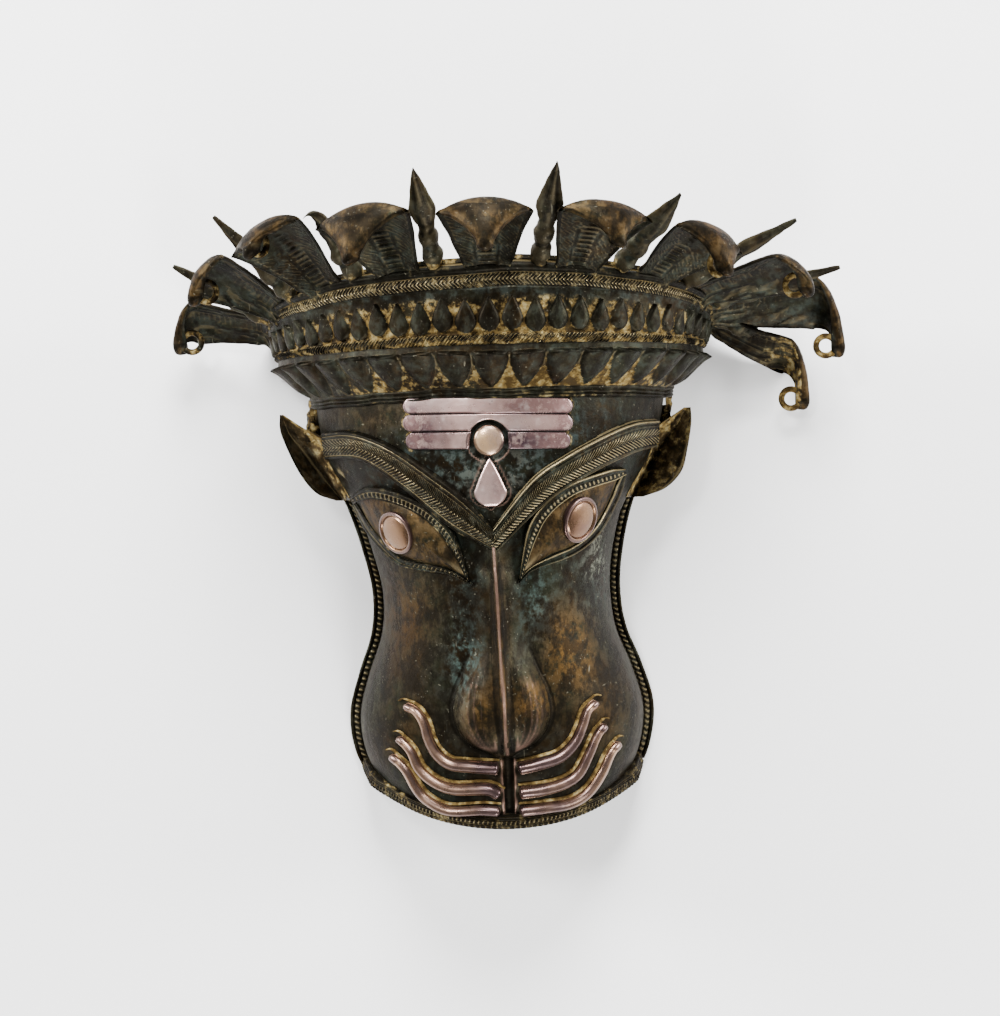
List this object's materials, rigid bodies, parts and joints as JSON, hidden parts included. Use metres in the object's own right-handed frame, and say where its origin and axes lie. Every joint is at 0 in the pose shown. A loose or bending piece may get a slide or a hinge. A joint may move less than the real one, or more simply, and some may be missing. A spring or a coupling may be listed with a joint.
{
  "type": "ritual mask",
  "caption": "Cast bronze spirit mask in the form of a big cat's face under a crown of rearing cobra hoods, with copper inlays on the forehead, eyes and muzzle, lying face up on its open back.",
  "frame": {"origin": "middle of the bounding box at the rear rim's plane", "axes": "+Z out of the face, +Y from the chin up to the crown, +X to the viewer's right as one looks at the face"},
  "size_m": [0.4122, 0.384, 0.2283],
  "materials": {
    "bronze": "dark patinated bronze, polished on its high places, with ochre residue in the recesses",
    "copper": "worn mauve-pink copper inlay, satin"
  },
  "bodies": {
    "root": {"mask_casting": "bronze", "forehead_bar_top": "copper", "forehead_bar_middle": "copper", "forehead_bar_lower_left": "copper", "forehead_bar_lower_right": "copper", "forehead_disc": "copper", "forehead_drop": "copper", "eye_disc_left": "copper", "eye_disc_right": "copper", "whisker_left_upper": "copper", "whisker_left_middle": "copper", "whisker_left_lower": "copper", "whisker_right_upper": "copper", "whisker_right_middle": "copper", "whisker_right_lower": "copper"}
  },
  "joints": []
}
